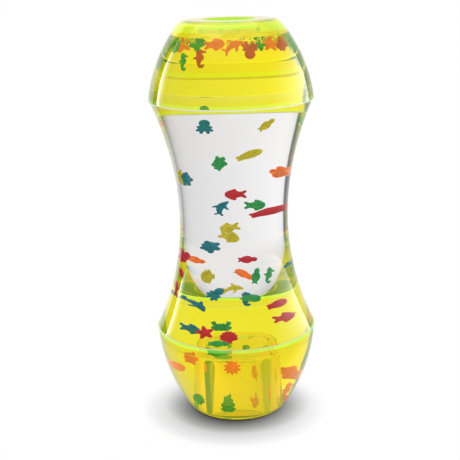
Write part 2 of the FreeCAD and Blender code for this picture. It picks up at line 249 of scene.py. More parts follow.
def tintedPlastic(name):
    material, tree, shader = newMaterial(name)
    shader.inputs["Transmission Weight"].default_value = 1.0
    # each face says what lies beyond it, as a ratio of indices, and how strongly it shines
    border = addNode(tree, "ShaderNodeAttribute", attribute_name="borderIor")
    tree.links.new(border.outputs["Fac"], shader.inputs["IOR"])
    lit = addNode(tree, "ShaderNodeAttribute", attribute_name="litEdge")
    colour = addNode(tree, "ShaderNodeMix", data_type="RGBA")
    plain, edge = [socket for socket in colour.inputs if socket.type == "RGBA"]
    plain.default_value = tintLook["surface"]
    edge.default_value = tintLook["edge"]
    tree.links.new(lit.outputs["Fac"], colour.inputs["Factor"])
    result = [socket for socket in colour.outputs if socket.type == "RGBA"][0]
    tree.links.new(result, shader.inputs["Base Color"])
    shader.inputs["Emission Color"].default_value = tintLook["edge"]
    shine = addNode(tree, "ShaderNodeMath", operation="MULTIPLY")
    shine.inputs[1].default_value = tintLook["edgeGlow"]
    tree.links.new(lit.outputs["Fac"], shine.inputs[0])
    tree.links.new(shine.outputs[0], shader.inputs["Emission Strength"])
    flow = addNoise(tree, tintLook["flowSize"], tintLook["flowDetail"])
    tree.links.new(
        addRange(tree, flow.outputs["Fac"], 0.0, tintLook["roughHigh"]),
        shader.inputs["Roughness"],
    )
    addBump(tree, shader, flow.outputs["Fac"], tintLook["flow"], tintLook["flowDepth"])
    passLamps(tree, shader, tintLook["shadow"])
    soak = addNode(tree, "ShaderNodeVolumeAbsorption")
    soak.inputs["Color"].default_value = tintLook["soak"]
    soak.inputs["Density"].default_value = tintLook["soakDensity"]
    glow = addNode(tree, "ShaderNodeEmission")
    glow.inputs["Color"].default_value = tintLook["glow"]
    glow.inputs["Strength"].default_value = tintLook["glowStrength"]
    both = addNode(tree, "ShaderNodeAddShader")
    tree.links.new(soak.outputs["Volume"], both.inputs[0])
    tree.links.new(glow.outputs["Emission"], both.inputs[1])
    tree.links.new(both.outputs["Shader"], tree.nodes["Material Output"].inputs["Volume"])
    return material


liquidLook = {
    "colour": (1.0, 1.0, 1.0, 1.0),
    "ripple": 0.08,
    "rippleSize": 60.0,
    "rippleDetail": 1.0,
    "rippleDepth": 0.0003,
}


def liquidSurface(name, ior):
    # with an index of 1 it bends nothing, which suits the sides: the wall's wet face does that
    material, tree, shader = newMaterial(name)
    shader.inputs["Base Color"].default_value = liquidLook["colour"]
    shader.inputs["Transmission Weight"].default_value = 1.0
    shader.inputs["Roughness"].default_value = 0.0
    shader.inputs["IOR"].default_value = ior
    if ior > 1.0:
        ripple = addNoise(tree, liquidLook["rippleSize"], liquidLook["rippleDetail"])
        addBump(tree, shader, ripple.outputs["Fac"], liquidLook["ripple"], liquidLook["rippleDepth"])
    passLamps(tree, shader, liquidLook["colour"])
    return material


charmColours = {
    "blue": (0.012, 0.20, 0.30),
    "green": (0.03, 0.36, 0.10),
    "yellow": (0.62, 0.54, 0.035),
    "orange": (1.0, 0.19, 0.015),
    "red": (0.60, 0.025, 0.045),
}
charmLook = {
    "rough": (0.3, 0.5),
    "shade": 0.75,
    "ior": 1.25,
    "glow": 0.18,
    "mottle": 260.0,
    "grain": 900.0,
    "grainDetail": 2.0,
    "grainBump": 0.3,
    "grainDepth": 0.00004,
}


def charmPlastic(name, colour):
    material, tree, shader = newMaterial(name)
    mottle = addNoise(tree, charmLook["mottle"])
    blend = addNode(tree, "ShaderNodeMix", data_type="RGBA")
    darker, plain = [socket for socket in blend.inputs if socket.type == "RGBA"]
    darker.default_value = (*[c * charmLook["shade"] for c in colour], 1.0)
    plain.default_value = (*colour, 1.0)
    tree.links.new(addRange(tree, mottle.outputs["Fac"], 0.0, 1.0), blend.inputs["Factor"])
    result = [socket for socket in blend.outputs if socket.type == "RGBA"][0]
    tree.links.new(result, shader.inputs["Base Color"])
    tree.links.new(
        addRange(tree, mottle.outputs["Fac"], *charmLook["rough"]),
        shader.inputs["Roughness"],
    )
    shader.inputs["IOR"].default_value = charmLook["ior"]
    shader.inputs["Emission Color"].default_value = (*colour, 1.0)
    shader.inputs["Emission Strength"].default_value = charmLook["glow"]
    grain = addNoise(tree, charmLook["grain"], charmLook["grainDetail"])
    addBump(tree, shader, grain.outputs["Fac"], charmLook["grainBump"], charmLook["grainDepth"])
    return material


clearDry = clearPlastic("clearPlastic", optics["plastic"])
clearWet = clearPlastic("clearPlasticWet", wetIor)
clearBonded = clearPlastic("clearPlasticBonded", 1.0)
clearRing = ringPlastic("clearPlasticRing")
tinted = tintedPlastic("tintedPlastic")
liquidTop = liquidSurface("liquidSurface", optics["liquid"])
liquidSide = liquidSurface("liquidSide", 1.0)
charmMaterials = {name: charmPlastic(name + "Charm", colour) for name, colour in charmColours.items()}
print("materials made")


def bowlArc(bowl):
    # the centre and radius of the arc that bulges out from the chord between end and rim
    run = tube["rimRadius"] - bowl["endRadius"]
    chord = math.hypot(run, bowl["height"])
    radius = (chord * chord / 4 + bowl["bulge"] ** 2) / (2 * bowl["bulge"])
    back = radius - bowl["bulge"]
    x = (tube["rimRadius"] + bowl["endRadius"]) / 2 - back * bowl["height"] / chord
    z = bowl["height"] / 2 + back * run / chord
    return x, z, radius


def bowlRadius(bowl, height, inset=0.0):
    x, z, radius = bowlArc(bowl)
    return x + math.sqrt((radius - inset) ** 2 - (height - z) ** 2)


def heights(low, high, step):
    count = max(1, round(abs(high - low) / step))
    return [low + (high - low) * n / count for n in range(count + 1)]


def flareRadius(endRadius, waistRadius, height):
    end = baseBowl["height"] if height < tube["waistHeight"] else tube["height"] - topBowl["height"]
    share = (height - tube["waistHeight"]) / (end - tube["waistHeight"])
    return waistRadius + (endRadius - waistRadius) * share * share


easeLimits = {"share": 0.45, "least": 0.01}     # most of an edge that a round takes, and least ease


def eased(corners, steps=4):
    # each corner is radius, height, slot of the stretch that follows it, ease
    outline = []
    for n, (radius, height, slot, ease) in enumerate(corners):
        here = Vector((radius, height))
        before = Vector(corners[n - 1][:2])
        after = Vector(corners[(n + 1) % len(corners)][:2])
        share = easeLimits["share"]
        ease = min(ease, (before - here).length * share, (after - here).length * share)
        if ease < easeLimits["least"]:
            outline.append((radius, height, slot))
            continue
        start = here + (before - here).normalized() * ease
        stop = here + (after - here).normalized() * ease
        for step in range(steps + 1):
            t = step / steps
            spot = start * (1 - t) ** 2 + here * (2 * t * (1 - t)) + stop * t * t
            outline.append((spot.x, spot.y, slot if step >= steps // 2 else corners[n - 1][2]))
    return outline


def turnedPiece(name, outline, materials, borders=None):
    # a closed outline in millimetres, swept round the axis
    sides = tube["sides"]
    build = bmesh.new()
    border = build.faces.layers.float.new("borderIor") if borders else None
    litEdge = build.faces.layers.float.new("litEdge") if borders else None
    rings = []
    for radius, height, slot in outline:
        if radius < onAxis:
            rings.append([build.verts.new((0.0, 0.0, height * mm))])
            continue
        ring = []
        for n in range(sides):
            turn = 2 * math.pi * n / sides
            x, y = radius * mm * math.cos(turn), radius * mm * math.sin(turn)
            ring.append(build.verts.new((x, y, height * mm)))
        rings.append(ring)
    for n, (radius, height, slot) in enumerate(outline):
        near, far = rings[n], rings[(n + 1) % len(rings)]
        if len(near) == 1 and len(far) == 1:
            continue
        for k in range(sides):
            nextOne = (k + 1) % sides
            corners = [near[k % len(near)], near[nextOne % len(near)]]
            corners += [far[nextOne % len(far)], far[k % len(far)]]
            face = build.faces.new(list(dict.fromkeys(corners)))
            face.smooth = True
            if borders:
                face[border] = borders[slot]
                face[litEdge] = litShares.get(slot, 0.0)
            else:
                face.material_index = slot
    bmesh.ops.recalc_face_normals(build, faces=build.faces[:])
    mesh = bpy.data.meshes.new(name)
    build.to_mesh(mesh)
    build.free()
    mesh.set_sharp_from_angle(angle=math.radians(tube["sharpAngle"]))
    for material in materials:
        mesh.materials.append(material)
    piece = bpy.data.objects.new(name, mesh)
    scene.collection.objects.link(piece)
    return piece


# what a stretch of an outline borders on; lit and faint ones are edges that shine green
dry, wet, bonded, litDry, litWet, faintDry = range(6)
tintBorders = {
    dry: optics["plastic"], wet: wetIor, bonded: 1.0,
    litDry: optics["plastic"], litWet: wetIor, faintDry: optics["plastic"],
}
litShares = {litDry: 1.0, litWet: 0.8, faintDry: 0.5}
spigotRadius = tube["rimRadius"] - tube["capWall"] - tube["spigotGap"]
spigotBore = spigotRadius - tube["spigotWall"]
socketRadius = tube["rimRadius"] - tube["capWall"]
bodyEnd = tube["rimRadius"] - tube["rimProud"]
innerEnd = bodyEnd - tube["bodyWall"]
innerWaist = tube["waistRadius"] - tube["bodyWall"]
baseRim = baseBowl["height"]
topRim = tube["height"] - topBowl["height"]
pocketOutside = tube["pocketRadius"] + tube["capWall"]
level = tube["height"] - tube["airGap"]
rimBand = 1.8       # the part of a cap's side, next to its rim, that shines green


def makeBody():
    low, high = baseRim - tube["spigotLength"], topRim + tube["spigotLength"]
    corners = [
        (spigotBore, low, wet, rounds["edge"]),
        (spigotRadius, low, bonded, rounds["edge"]),
        (spigotRadius, baseRim + hair, bonded, 0.0),
    ]
    frosted = 3     # the body's fourth material
    ringTop = baseRim + hair + ringLook["lowBand"]
    ringFoot = topRim - hair - ringLook["highBand"]
    outside = heights(ringTop, ringFoot, tube["stepAlong"])
    for z in [baseRim + hair, *outside, topRim - hair]:
        slot = frosted if z in (baseRim + hair, outside[-1]) else dry
        corners.append((flareRadius(bodyEnd, tube["waistRadius"], z), z, slot, 0.0))
    corners[-1] = (*corners[-1][:2], bonded, 0.0)
    corners += [
        (spigotRadius, topRim - hair, bonded, 0.0),
        (spigotRadius, high, wet, rounds["edge"]),
        (spigotBore, high, wet, rounds["edge"]),
    ]
    for z in heights(topRim, baseRim, tube["stepAlong"]):
        corners.append((flareRadius(innerEnd, innerWaist, z), z, wet, 0.0))
    return turnedPiece("clearBody", eased(corners), [clearDry, clearWet, clearBonded, clearRing])


def capOutline(bowl, floor, floorEase, fromAxis, wetFrom, pocketSlot, rimSlot, endSlot):
    # the cap stands on its end face here; wetFrom is the height above which its inside is wet,
    # and fromAxis is the radius of the hole in its floor
    ledge = bowl["height"] - tube["spigotLength"] - tube["spigotEndGap"]
    crown = floor + tube["capWall"]
    wetCrown = wet if wetFrom <= tube["capWall"] else dry
    corners = [
        (fromAxis, floor, pocketSlot, 0.0),
        (tube["pocketRadius"], floor, pocketSlot, floorEase * 0.5),
        (tube["pocketRadius"], 0.0, dry, rounds["mouth"]),
        (bowl["endRadius"], 0.0, endSlot, rounds["foot"]),
    ]
    for z in heights(arcStarts["outside"], bowl["height"] - rimBand, tube["stepAlong"]):
        corners.append((bowlRadius(bowl, z), z, dry, 0.0))
    corners[-1] = (*corners[-1][:2], rimSlot, 0.0)
    corners += [
        (tube["rimRadius"], bowl["height"], rimSlot, rounds["edge"]),
        (bodyEnd, bowl["height"], bonded, 0.0),
        (socketRadius, bowl["height"], bonded, 0.0),
        (socketRadius, ledge, litWet, 0.0),
        (bowlRadius(bowl, ledge, tube["capWall"]), ledge, wet, 0.0),
    ]
    for z in heights(ledge, max(wetFrom, arcStarts["inside"]), tube["stepAlong"])[1:]:
        corners.append((bowlRadius(bowl, z, tube["capWall"]), z, wet, 0.0))
    if wetFrom > tube["capWall"]:
        corners[-1] = (*corners[-1][:2], dry, 0.0)
    footRadius = bowlRadius(bowl, tube["capWall"], tube["capWall"])
    corners += [
        (footRadius, tube["capWall"], wetCrown, rounds["insideFoot"]),
        (pocketOutside, tube["capWall"], wetCrown, rounds["insideWell"]),
        (pocketOutside, crown, wetCrown, floorEase),
        (fromAxis, crown, wetCrown if fromAxis < onAxis else dry, 0.0),
    ]
    return eased(corners, steps=6)


def makeCaps():
    upright = capOutline(
        baseBowl, tube["wellHeight"] - tube["capWall"], tube["wellEase"],
        fromAxis=0.0, wetFrom=0.0, pocketSlot=dry, rimSlot=litDry, endSlot=dry,
    )
    base = turnedPiece("baseCap", upright, [tinted], tintBorders)
    upright = capOutline(
        topBowl, tube["recessDepth"], rounds["recess"],
        fromAxis=plug["holeRadius"], wetFrom=tube["airGap"],
        pocketSlot=litDry, rimSlot=faintDry, endSlot=faintDry,
    )
    flipped = [(radius, tube["height"] - z, slot) for radius, z, slot in upright]
    top = turnedPiece("topCap", flipped, [tinted], tintBorders)
    return base, top


def makePlug():
    seat = tube["height"] - tube["recessDepth"] + hair
    stem = plug["holeRadius"] - plug["clearance"]
    foot = seat - tube["capWall"] - plug["reach"]
    crown = seat + plug["headHeight"] - hair
    dimple = seat + plug["headHeight"] - plug["dimpleDepth"]
    corners = [
        (0.0, foot, dry, 0.0),
        (stem - plug["taper"], foot, dry, plug["tipRound"]),
        (stem, foot + plug["taperHeight"], dry, plug["tipRound"]),
        (stem, seat, dry, 0.0),
        (plug["headRadius"], seat, dry, plug["seatRound"]),
        (plug["headRadius"], crown, dry, plug["headRound"]),
        (plug["dimpleRadius"], crown, dry, plug["dimpleRound"]),
        (plug["dimpleFoot"], dimple, dry, plug["dimpleRound"]),
        (0.0, dimple, dry, 0.0),
    ]
    return turnedPiece("fillPlug", eased(corners), [tinted], tintBorders)


# large ones are x, y, radius; a sector is two bearings in degrees and how many small ones it has;
# gap and smallGap are below the surface; the charms in clearOf rise to the top
bubbles = {
    "large": ((9.0, -19.5, 2.2), (6.2, -22.5, 1.3), (12.6, -20.5, 1.5)),
    "sectors": ((-72.0, -15.0, 64), (-165.0, -128.0, 26), (-128.0, -72.0, 10)),
    "small": (0.3, 0.95),
    "gap": 0.2,
    "smallGap": 0.15,
    "depth": 2.4,
    "fromWall": 0.2,
    "spread": 6.0,
    "segments": (16, 10),
    "seed": 4,
    "clearOf": ("red_seal_1", "red_shell_1", "green_turtle_2", "yellow_seal_1"),
}
sideSlot, surfaceSlot = 0, 1        # the liquid's two materials
spigotEase = 0.2        # how far past a spigot's end the liquid takes its bore


def addBubble(build, middle, radius):
    across, upward = bubbles["segments"]
    made = bmesh.ops.create_uvsphere(
        build, u_segments=across, v_segments=upward, radius=radius * mm,
    )
    faces = set()
    for vert in made["verts"]:
        vert.co += Vector(middle) * mm
        faces.update(vert.link_faces)
    bmesh.ops.reverse_faces(build, faces=list(faces))
    for face in faces:
        face.smooth = True
        face.material_index = surfaceSlot


def cornersOf(points):
    low = Vector([min(p[n] for p in points) for n in range(3)])
    high = Vector([max(p[n] for p in points) for n in range(3)])
    return low, high


def wallRadius(z):
    # the inside of the wall that the liquid stands against
    if z < baseRim - tube["spigotLength"] - tube["spigotEndGap"]:
        return bowlRadius(baseBowl, z, tube["capWall"])
    if z > topRim + tube["spigotLength"] + tube["spigotEndGap"]:
        return bowlRadius(topBowl, tube["height"] - z, tube["capWall"])
    if baseRim <= z <= topRim:
        return flareRadius(innerEnd, innerWaist, z)
    return spigotBore


def inTheWay(x, y, radius):
    # whether a bubble would be in the column of a charm that rises to the top
    for node in bubbles["clearOf"]:
        low, high = cornersOf([vert.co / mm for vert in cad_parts[node].data.vertices])
        inside = low.x - radius < x < high.x + radius
        if inside and low.y - radius < y < high.y + radius:
            return True
    return False


def makeLiquid():
    low, high = baseRim - tube["spigotLength"], topRim + tube["spigotLength"]
    floor = tube["capWall"] + hair
    corners = [
        (0.0, tube["wellHeight"] + hair, sideSlot, 0.0),
        (pocketOutside + hair, tube["wellHeight"] + hair, sideSlot, tube["wellEase"]),
        (pocketOutside + hair, floor, sideSlot, rounds["insideWell"]),
        (wallRadius(floor) - hair, floor, sideSlot, rounds["insideFoot"]),
    ]
    stretches = [
        heights(arcStarts["inside"], low - tube["spigotEndGap"] - hair, tube["stepAlong"]),
        [low + spigotEase],
        heights(baseRim, topRim, tube["stepAlong"]),
        [high - spigotEase],
        heights(high + tube["spigotEndGap"] + hair, level, tube["stepAlong"]),
    ]
    for stretch in stretches:
        for z in stretch:
            corners.append((wallRadius(z) - hair, z, sideSlot, 0.0))
    corners[-1] = (corners[-1][0], level, surfaceSlot, 0.0)
    corners.append((0.0, level, sideSlot, 0.0))
    piece = turnedPiece("liquidFill", eased(corners, steps=6), [liquidSide, liquidTop])
    # the bubbles come before the big mesh, because adding to a small one is much quicker
    build = bmesh.new()
    dice = random.Random(bubbles["seed"])
    for x, y, radius in bubbles["large"]:
        if not inTheWay(x, y, radius):
            addBubble(build, (x, y, level - radius - bubbles["gap"]), radius)
    for start, stop, count in bubbles["sectors"]:
        for n in range(count):
            bearing = math.radians(dice.uniform(start, stop))
            radius = dice.uniform(*bubbles["small"])
            z = level - radius - bubbles["smallGap"] - dice.random() ** 2 * bubbles["depth"]
            out = wallRadius(z) - radius - bubbles["fromWall"] - dice.random() ** 3 * bubbles["spread"]
            x, y = out * math.cos(bearing), out * math.sin(bearing)
            if not inTheWay(x, y, radius):
                addBubble(build, (x, y, z), radius)
    build.from_mesh(piece.data)
    build.to_mesh(piece.data)
    build.free()
    return piece


body = makeBody()
base, top = makeCaps()
stopper = makePlug()
liquid = makeLiquid()
for piece, node, slotName in (
    (body, "clear_body", "clear_plastic"),
    (base, "base_cap", "tinted_plastic"),
    (top, "top_cap", "tinted_plastic"),
    (stopper, "fill_plug", "plug_plastic"),
    (liquid, "liquid", "liquid"),
):
    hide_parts(node)
    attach(piece, "vessel")
print("shells turned")


# yaw about the upright and tilt as seen from the front, in degrees
lie = {
    "green_turtle_1": (40, 80), "orange_starfish_1": (20, 10), "green_shell_1": (20, 0),
    "orange_fish_1": (0, 5), "orange_dolphin_1": (-20, 30), "red_octopus_1": (0, 180),
    "green_octopus_1": (0, 20), "orange_starfish_2": (0, 0), "red_shell_1": (0, 90),
    "green_seahorse_1": (-40, 0), "red_seahorse_1": (0, 0), "green_crab_1": (-40, 90),
    "blue_octopus_1": (0, 0), "yellow_seal_1": (0, 38), "yellow_minnow_1": (20, 28),
    "green_turtle_2": (20, 50), "orange_crab_1": (-60, 20), "blue_turtle_1": (20, -60),
    "yellow_fish_1": (-20, -60), "red_fish_1": (0, 180), "green_fish_1": (-20, 0),
    "blue_dolphin_1": (20, 65), "red_minnow_1": (-20, 25), "yellow_fish_2": (-40, 200),
    "yellow_fish_3": (0, -25), "blue_turtle_2": (40, -30), "red_seal_1": (0, 0),
    "red_crab_1": (-20, 60), "green_seahorse_2": (0, -15), "orange_seal_1": (-60, 0),
    "green_seal_1": (0, 80), "blue_octopus_2": (20, -50), "orange_minnow_1": (-60, 165),
    "yellow_shell_1": (0, 90), "blue_seahorse_1": (-40, 0), "green_minnow_1": (-40, 10),
    "red_minnow_2": (0, 20), "yellow_dolphin_1": (0, 5), "red_fish_2": (-80, 90),
    "red_fish_3": (-40, 20), "blue_dolphin_2": (-40, -50), "blue_fish_1": (-40, 0),
    "red_starfish_1": (0, 10), "red_shell_2": (0, 0), "green_crab_2": (0, 0),
    "green_seal_2": (0, 0), "orange_turtle_1": (-20, 0), "orange_starfish_3": (0, 0),
    "orange_minnow_2": (-60, 0), "orange_turtle_2": (-40, 0), "orange_seahorse_1": (20, -20),
    "green_shell_2": (-60, 0), "green_crab_3": (20, 0), "orange_crab_2": (-40, 30),
    "green_turtle_3": (20, 0),
}

# A charm is balls and limbs on a plan one unit long, melted into one moulding. A ball is x, y,
# half length, half width, half thickness; a limb is a line of places, each x, y, radius.
thick = 0.145
fifths = [math.pi / 2 + 2 * math.pi * n / 5 for n in range(5)]
tenths = [math.pi / 2 + 2 * math.pi * n / 10 for n in range(10)]
ribs = [math.radians(angle) for angle in (-12, 18, 48, 72, 90, 108, 132, 162, 192)]
charms = {
    "fish": {
        "balls": [(0.12, 0.0, 0.37, 0.27, thick), (0.2, 0.0, 0.28, 0.24, thick * 1.05)],
        "limbs": [
            [(-0.14, 0.0, 0.18), (-0.3, 0.06, 0.1), (-0.44, 0.17, 0.075)],
            [(-0.14, 0.0, 0.18), (-0.3, -0.06, 0.1), (-0.44, -0.16, 0.075)],
            [(0.2, 0.2, 0.09), (0.02, 0.29, 0.07)],
            [(0.18, -0.18, 0.09), (0.02, -0.27, 0.07)],
        ],
        "beads": [(0.36, 0.09, 0.045), (0.06, -0.04, 0.07), (0.0, -0.05, 0.05), (0.12, 0.12, 0.05),
                  (0.0, 0.12, 0.04), (-0.1, 0.06, 0.04)],
    },
    "minnow": {
        "balls": [(0.06, 0.0, 0.44, 0.2, thick), (0.2, 0.0, 0.28, 0.18, thick)],
        "limbs": [
            [(-0.2, 0.0, 0.15), (-0.34, 0.03, 0.1), (-0.45, 0.07, 0.065)],
            [(-0.2, 0.0, 0.15), (-0.34, -0.03, 0.1), (-0.45, -0.07, 0.065)],
        ],
        "beads": [(0.37, 0.06, 0.035), (0.2, 0.0, 0.05), (0.08, 0.02, 0.05), (-0.04, 0.0, 0.045),
                  (-0.16, 0.01, 0.04)],
    },
    "dolphin": {
        "balls": [(0.12, 0.04, 0.27, 0.16, thick)],
        "limbs": [
            [(0.46, -0.06, 0.045), (0.36, -0.01, 0.09), (0.2, 0.04, 0.15), (0.0, 0.05, 0.14),
             (-0.18, 0.0, 0.11), (-0.34, -0.08, 0.07)],
            [(-0.34, -0.08, 0.06), (-0.46, 0.05, 0.045)],
            [(-0.34, -0.1, 0.06), (-0.45, -0.24, 0.045)],
            [(0.06, 0.15, 0.09), (-0.06, 0.31, 0.045)],
            [(0.12, -0.06, 0.08), (0.0, -0.25, 0.045)],
        ],
        "beads": [(0.3, 0.06, 0.03), (0.1, 0.04, 0.04)],
    },
    "seal": {
        "balls": [(-0.06, 0.0, 0.34, 0.22, thick), (0.32, 0.0, 0.18, 0.14, thick)],
        "limbs": [
            [(-0.2, 0.0, 0.13), (-0.38, 0.04, 0.07), (-0.46, 0.1, 0.045)],
            [(-0.2, 0.0, 0.13), (-0.38, -0.04, 0.07), (-0.46, -0.1, 0.045)],
            [(0.08, 0.1, 0.1), (-0.02, 0.17, 0.06)],
            [(0.08, -0.1, 0.1), (-0.02, -0.17, 0.06)],
        ],
        "beads": [(0.38, 0.06, 0.03), (0.38, -0.06, 0.03), (0.47, 0.0, 0.035), (0.0, 0.0, 0.06),
                  (-0.14, 0.0, 0.05)],
    },
    "turtle": {
        "balls": [(-0.03, 0.0, 0.4, 0.34, thick)],
        "limbs": [
            [(0.2, 0.0, 0.16), (0.36, 0.0, 0.13)],
            [(0.14, 0.2, 0.15), (0.2, 0.28, 0.12)],
            [(0.14, -0.2, 0.15), (0.2, -0.28, 0.12)],
            [(-0.22, 0.16, 0.14), (-0.3, 0.22, 0.1)],
            [(-0.22, -0.16, 0.14), (-0.3, -0.22, 0.1)],
            [(-0.3, 0.0, 0.08), (-0.44, 0.0, 0.04)],
        ],
        "beads": [(-0.05, 0.0, 0.1), (0.11, 0.0, 0.07), (-0.21, 0.0, 0.07), (0.03, 0.14, 0.07),
                  (0.03, -0.14, 0.07), (-0.13, 0.14, 0.07), (-0.13, -0.14, 0.07), (0.43, 0.06, 0.028),
                  (0.43, -0.06, 0.028)],
    },
    "crab": {
        "balls": [(0.0, -0.07, 0.36, 0.29, thick)],
        "limbs": [
            [(side * 0.2, 0.04, 0.12), (side * 0.33, 0.18, 0.11), (side * 0.3, 0.34, 0.07)]
            for side in (-1, 1)
        ] + [
            [(side * 0.33, 0.18, 0.1), (side * 0.41, 0.3, 0.06)] for side in (-1, 1)
        ] + [
            [(side * 0.22, y, 0.09), (side * reach, y - 0.02, 0.055)]
            for side in (-1, 1) for y, reach in ((-0.04, 0.44), (-0.16, 0.42), (-0.26, 0.3))
        ],
        "beads": [(0.1, 0.17, 0.05), (-0.1, 0.17, 0.05), (0.0, -0.1, 0.08), (0.16, -0.14, 0.06),
                  (-0.16, -0.14, 0.06), (0.0, -0.27, 0.05)],
    },
    "starfish": {
        "balls": [(0.0, 0.0, 0.25, 0.25, thick)],
        "limbs": [
            [(0.0, 0.0, 0.2), (0.22 * math.cos(turn), 0.22 * math.sin(turn), 0.15),
             (0.41 * math.cos(turn), 0.41 * math.sin(turn), 0.085)]
            for turn in fifths
        ],
        "beads": [(0.0, 0.0, 0.08)] + [
            (reach * math.cos(turn), reach * math.sin(turn), 0.045)
            for turn in fifths
            for reach in (0.15, 0.26, 0.37)
        ],
    },
    "sunStar": {
        "balls": [(0.0, 0.0, 0.36, 0.36, thick)],
        "limbs": [
            [(0.0, 0.0, 0.12), (0.3 * math.cos(turn), 0.3 * math.sin(turn), 0.09),
             (0.44 * math.cos(turn), 0.44 * math.sin(turn), 0.055)]
            for turn in tenths
        ],
        "beads": [(0.0, 0.0, 0.09)] + [
            (reach * math.cos(turn), reach * math.sin(turn), 0.04)
            for turn in tenths
            for reach in (0.19, 0.31)
        ],
    },
    "shell": {
        "balls": [(0.0, 0.05, 0.38, 0.36, thick * 0.75)],
        "limbs": [
            [(0.0, -0.3, 0.07), (0.4 * math.cos(turn), 0.4 * math.sin(turn), 0.1)] for turn in ribs
        ] + [[(-0.11, -0.38, 0.07), (0.11, -0.38, 0.07)]],
        "beads": [],
    },
    "octopus": {
        "balls": [(0.0, 0.22, 0.27, 0.27, thick), (0.0, -0.08, 0.2, 0.2, thick)],
        "limbs": [
            [(side * 0.1, 0.0, 0.12), (side * 0.22, -0.06, 0.1), (side * 0.29, -0.02, 0.075)]
            for side in (-1, 1)
        ] + [
            [(side * 0.1, -0.14, 0.12), (side * 0.24, -0.2, 0.1), (side * 0.33, -0.26, 0.08)]
            for side in (-1, 1)
        ] + [
            [(side * 0.06, -0.18, 0.12), (side * 0.13, -0.3, 0.1), (side * 0.16, -0.41, 0.085)]
            for side in (-1, 1)
        ],
        "beads": [(0.1, 0.16, 0.05), (-0.1, 0.16, 0.05), (0.0, 0.32, 0.06), (0.24, -0.2, 0.04),
                  (-0.24, -0.2, 0.04)],
    },
    "seahorse": {
        "balls": [(0.0, 0.35, 0.14, 0.12, thick), (0.02, 0.04, 0.18, 0.2, thick)],
        "limbs": [
            [(0.04, 0.32, 0.09), (0.25, 0.31, 0.05)],
            [(-0.04, 0.4, 0.07), (-0.04, 0.46, 0.045)],
            [(-0.06, 0.34, 0.1), (-0.04, 0.2, 0.1), (0.01, 0.05, 0.15), (-0.03, -0.12, 0.11),
             (-0.04, -0.28, 0.08), (0.0, -0.4, 0.07), (0.09, -0.42, 0.065), (0.15, -0.33, 0.055)],
            [(-0.1, 0.04, 0.08), (-0.23, 0.0, 0.045)],
        ],
        "beads": [(0.04, 0.38, 0.03), (0.08, 0.14, 0.045), (0.1, 0.04, 0.045), (0.08, -0.06, 0.04),
                  (0.0, -0.18, 0.035), (0.0, -0.28, 0.03)],
    },
}
kindOf = {"orange_starfish_3": "sunStar"}
# length and voxel in millimetres; beadSink and limbThick are shares of a radius
melt = {
    "length": 9.0, "voxel": 0.16, "smooth": 4, "keep": 0.4, "limbSteps": 7,
    "beadSink": 0.35, "limbThick": 1.3,
}


def addBall(build, x, y, z, halfLength, halfWidth, halfThick):
    made = bmesh.ops.create_icosphere(build, subdivisions=2, radius=1.0)
    for vert in made["verts"]:
        unit = vert.co
        vert.co = Vector((x + unit.x * halfLength, y + unit.y * halfWidth, z + unit.z * halfThick))


def meltedCharm(kind):
    plan = charms[kind]
    build = bmesh.new()
    for x, y, halfLength, halfWidth, halfThick in plan["balls"]:
        addBall(build, x, y, 0.0, halfLength, halfWidth, halfThick)
    for limb in plan["limbs"]:
        for start, stop in zip(limb, limb[1:]):
            for step in range(melt["limbSteps"] + 1):
                t = step / melt["limbSteps"]
                x, y, radius = [a + (b - a) * t for a, b in zip(start, stop)]
                addBall(build, x, y, 0.0, radius, radius, min(thick, radius * melt["limbThick"]))
    for x, y, radius in plan["beads"]:
        for way in (-1, 1):
            depth = thick - radius * melt["beadSink"]
            addBall(build, x, y, way * depth, radius, radius, radius)
    for vert in build.verts:
        vert.co *= melt["length"] * mm
    mesh = bpy.data.meshes.new(kind + "Charm")
    build.to_mesh(mesh)
    build.free()
    model = bpy.data.objects.new(kind + "Charm", mesh)
    scene.collection.objects.link(model)
    remesh = model.modifiers.new("melt", "REMESH")
    remesh.mode = "VOXEL"
    remesh.voxel_size = melt["voxel"] * mm
    smooth = model.modifiers.new("soften", "SMOOTH")
    smooth.iterations = melt["smooth"]
    thin = model.modifiers.new("thin", "DECIMATE")
    thin.ratio = melt["keep"]
    bpy.context.view_layer.update()
    graph = bpy.context.evaluated_depsgraph_get()
    done = bpy.data.meshes.new_from_object(model.evaluated_get(graph))
    bpy.data.objects.remove(model)
    return done


def makeCharm(node, moulds):
    # the moulding fills the box that the CAD piece has along its own length, width and thickness
    colour, kind, number = node.split("_")
    yaw, tilt = [math.radians(angle) for angle in lie[node]]
    stood = Matrix.Rotation(yaw, 4, "Z") @ Matrix.Rotation(math.pi / 2, 4, "X")
    turned = stood @ Matrix.Rotation(tilt, 4, "Z")
    back = turned.inverted()
    low, high = cornersOf([back @ v.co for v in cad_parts[node].data.vertices])
    mesh = moulds[kindOf.get(node, kind)].copy()
    mouldLow, mouldHigh = cornersOf([v.co for v in mesh.vertices])
    for vert in mesh.vertices:
        share = [(vert.co[n] - mouldLow[n]) / (mouldHigh[n] - mouldLow[n]) for n in range(3)]
        vert.co = turned @ Vector([low[n] + share[n] * (high[n] - low[n]) for n in range(3)])
    mesh.materials.clear()
    mesh.materials.append(charmMaterials[colour])
    for polygon in mesh.polygons:
        polygon.use_smooth = True
    name = colour + kind.capitalize() + number
    mesh.name = name
    piece = bpy.data.objects.new(name, mesh)
    scene.collection.objects.link(piece)
    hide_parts(node)
    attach(piece, node + "_body")
    return piece


moulds = {kind: meltedCharm(kind) for kind in charms}
for node in lie:
    makeCharm(node, moulds)
print("creatures moulded")
